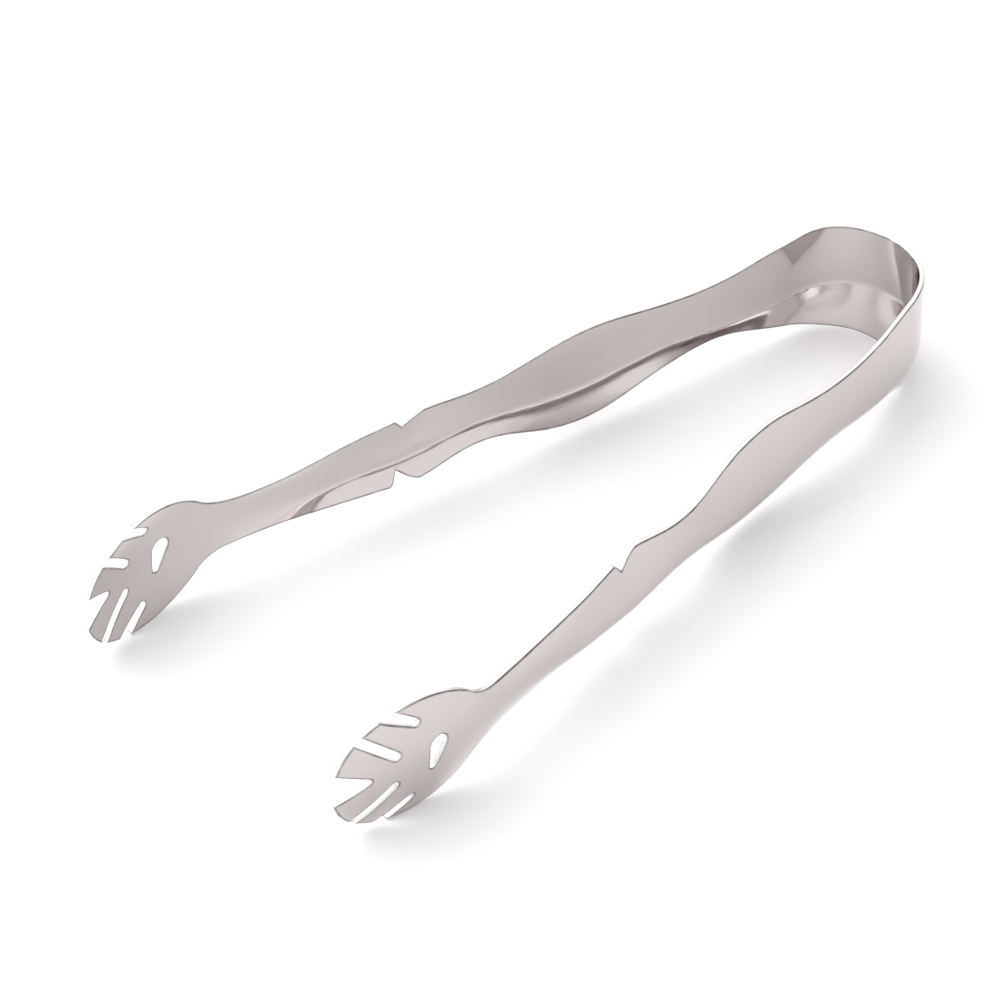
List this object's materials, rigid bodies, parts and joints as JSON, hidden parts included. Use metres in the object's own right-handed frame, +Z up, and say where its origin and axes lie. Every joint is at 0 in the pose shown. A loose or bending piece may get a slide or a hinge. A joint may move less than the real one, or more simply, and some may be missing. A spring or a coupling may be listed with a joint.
{
  "type": "ice tongs",
  "caption": "Sprung strip tongs for ice: a round bow, channelled arms with wide thumb rests and stop notches, and cupped, slotted claws.",
  "frame": {"origin": "middle of the outline seen from above, at the level of the lowest edges when the tongs lie on one long edge", "axes": "+X from the claws to the bow, +Y to the left arm, +Z up out of the surface the tongs lie on"},
  "size_m": [0.1789, 0.0688, 0.0242],
  "materials": {
    "stainless": "polished stainless steel"
  },
  "bodies": {
    "bow": {"spring_bow": "stainless"},
    "left_side": {"left_shoulder": "stainless", "left_arm": "stainless", "left_claw": "stainless"},
    "right_side": {"right_shoulder": "stainless", "right_arm": "stainless", "right_claw": "stainless"}
  },
  "joints": [
    {"name": "left_flex", "type": "hinge", "parent": "bow", "child": "left_side", "pos_m": [0.08253, 0.0103, 0.0121], "axis": [0, 0, 1], "range_deg": [0, 9.5], "stiffness_Nm_per_rad": 3.4},
    {"name": "right_flex", "type": "hinge", "parent": "bow", "child": "right_side", "pos_m": [0.08253, -0.0103, 0.0121], "axis": [0, 0, -1], "range_deg": [0, 9.5], "stiffness_Nm_per_rad": 3.4}
  ]
}
